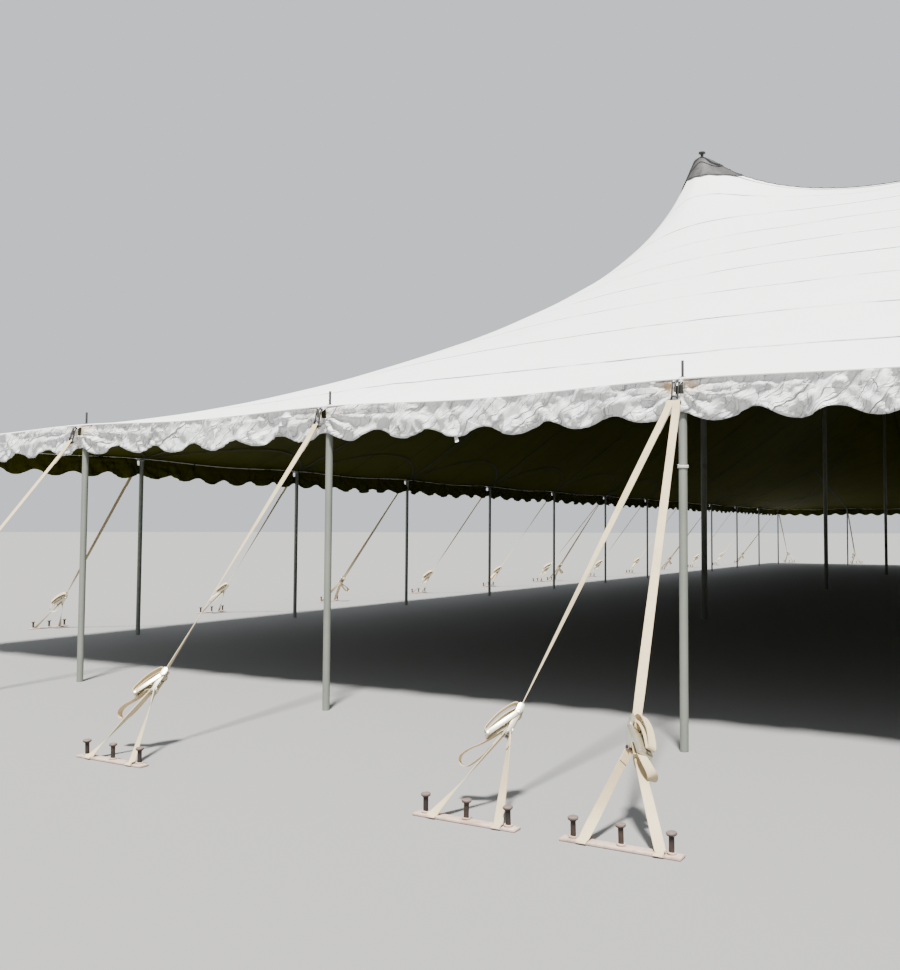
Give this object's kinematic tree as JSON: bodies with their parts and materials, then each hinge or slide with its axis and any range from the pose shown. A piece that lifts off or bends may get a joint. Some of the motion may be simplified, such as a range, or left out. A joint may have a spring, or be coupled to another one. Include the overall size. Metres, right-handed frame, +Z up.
{
  "type": "pole marquee tent, 1:2 scale model",
  "caption": "Open sided pole tent with a peaked white roof on tall inner poles, scalloped valances, side poles and ratcheted webbing guys pegged to stakes.",
  "frame": {"origin": "middle of the tent at ground level", "axes": "+X across the tent, +Y along its length from the front end to the back end, +Z up"},
  "size_m": [11.126, 20.27, 3.926],
  "materials": {
    "canopy_vinyl": "white coated vinyl, satin, lightly creased",
    "valance_vinyl": "white coated vinyl, wrinkled, a little soiled",
    "galvanised_pole": "dull grey galvanised steel tube",
    "dark_pole": "dark weathered tube",
    "guy_webbing": "cream woven polyester webbing",
    "hardware_steel": "zinc plated ratchets and hooks",
    "stake_iron": "dark rusted steel"
  },
  "bodies": {
    "root": {"canopy": "canopy_vinyl", "valance_front": "valance_vinyl", "valance_right": "valance_vinyl", "valance_back": "valance_vinyl", "valance_left": "valance_vinyl", "main_pole_front_left": "dark_pole", "main_pole_front_right": "dark_pole", "main_pole_middle_left": "dark_pole", "main_pole_middle_right": "dark_pole", "main_pole_back_left": "dark_pole", "main_pole_back_right": "dark_pole", "side_pole_front_1": "galvanised_pole", "side_pole_front_2": "galvanised_pole", "side_pole_front_3": "galvanised_pole", "side_pole_front_4": "galvanised_pole", "side_pole_front_5": "galvanised_pole", "side_pole_front_6": "galvanised_pole", "side_pole_front_7": "galvanised_pole", "side_pole_right_1": "galvanised_pole", "side_pole_right_2": "galvanised_pole", "side_pole_right_3": "galvanised_pole", "side_pole_right_4": "galvanised_pole", "side_pole_right_5": "galvanised_pole", "side_pole_right_6": "galvanised_pole", "side_pole_right_7": "galvanised_pole", "side_pole_right_8": "galvanised_pole", "side_pole_right_9": "galvanised_pole", "side_pole_right_10": "galvanised_pole", "side_pole_right_11": "galvanised_pole", "side_pole_back_1": "galvanised_pole", "side_pole_back_2": "galvanised_pole", "side_pole_back_3": "galvanised_pole", "side_pole_back_4": "galvanised_pole", "side_pole_back_5": "galvanised_pole", "side_pole_back_6": "galvanised_pole", "side_pole_back_7": "galvanised_pole", "side_pole_left_1": "galvanised_pole", "side_pole_left_2": "galvanised_pole", "side_pole_left_3": "galvanised_pole", "side_pole_left_4": "galvanised_pole", "side_pole_left_5": "galvanised_pole", "side_pole_left_6": "galvanised_pole", "side_pole_left_7": "galvanised_pole", "side_pole_left_8": "galvanised_pole", "side_pole_left_9": "galvanised_pole", "side_pole_left_10": "galvanised_pole", "side_pole_left_11": "galvanised_pole"}
  },
  "joints": []
}
